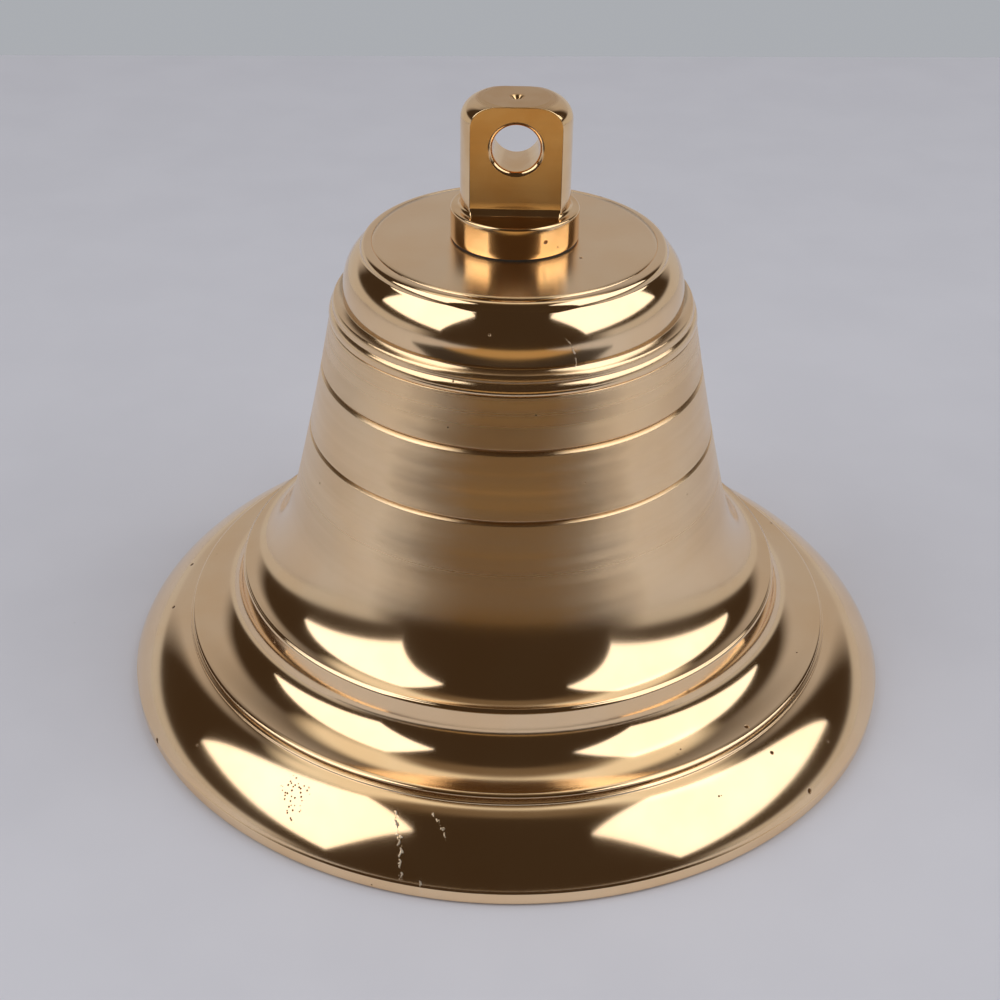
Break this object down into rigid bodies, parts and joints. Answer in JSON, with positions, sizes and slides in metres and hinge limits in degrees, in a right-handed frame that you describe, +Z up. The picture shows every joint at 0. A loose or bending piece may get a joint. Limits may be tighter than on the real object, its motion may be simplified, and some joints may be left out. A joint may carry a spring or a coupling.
{
  "type": "ship bell",
  "caption": "Flared brass ship bell with a bored hanging lug on its crown and a clapper that swings inside on a hinge pin.",
  "frame": {"origin": "centre of the mouth, on the plane that the rim stands on", "axes": "+Z up along the bell's axis, towards the hanging lug; the lug's bore lies along Y, and the clapper's hinge pin lies along X"},
  "size_m": [0.3, 0.3, 0.2322],
  "materials": {
    "bell_brass": "turned brass: crown disc and waist satin from fine circular polishing lines, mouldings mirror polished",
    "lug_brass": "warm turned brass, polished, with fine straight polishing lines on the flats",
    "inner_brass": "machined brass, left a little dull inside the bell",
    "clapper_brass": "turned brass with rubbed striking faces",
    "steel": "stainless steel fasteners",
    "bronze": "bearing bronze",
    "fibre": "dark sealing gasket"
  },
  "bodies": {
    "bell": {"bell_shell": "bell_brass", "hanging_lug": "lug_brass", "crown_gasket": "fibre", "crown_washer": "inner_brass", "spring_washer": "steel", "crown_nut": "inner_brass", "clapper_hanger": "inner_brass", "hanger_lock_pin": "steel", "hinge_pin": "steel", "pin_washer": "inner_brass", "split_pin": "steel", "side_washers": "bronze"},
    "clapper": {"hinge_bush": "bronze", "clapper_rod": "clapper_brass", "ball_lock_nut": "inner_brass", "clapper_ball": "clapper_brass"}
  },
  "joints": [
    {"name": "clapper_swing", "type": "hinge", "parent": "bell", "child": "clapper", "pos_m": [0, 0, 0.1394], "axis": [1, 0, 0], "range_deg": [-36.8, 36.8]}
  ]
}
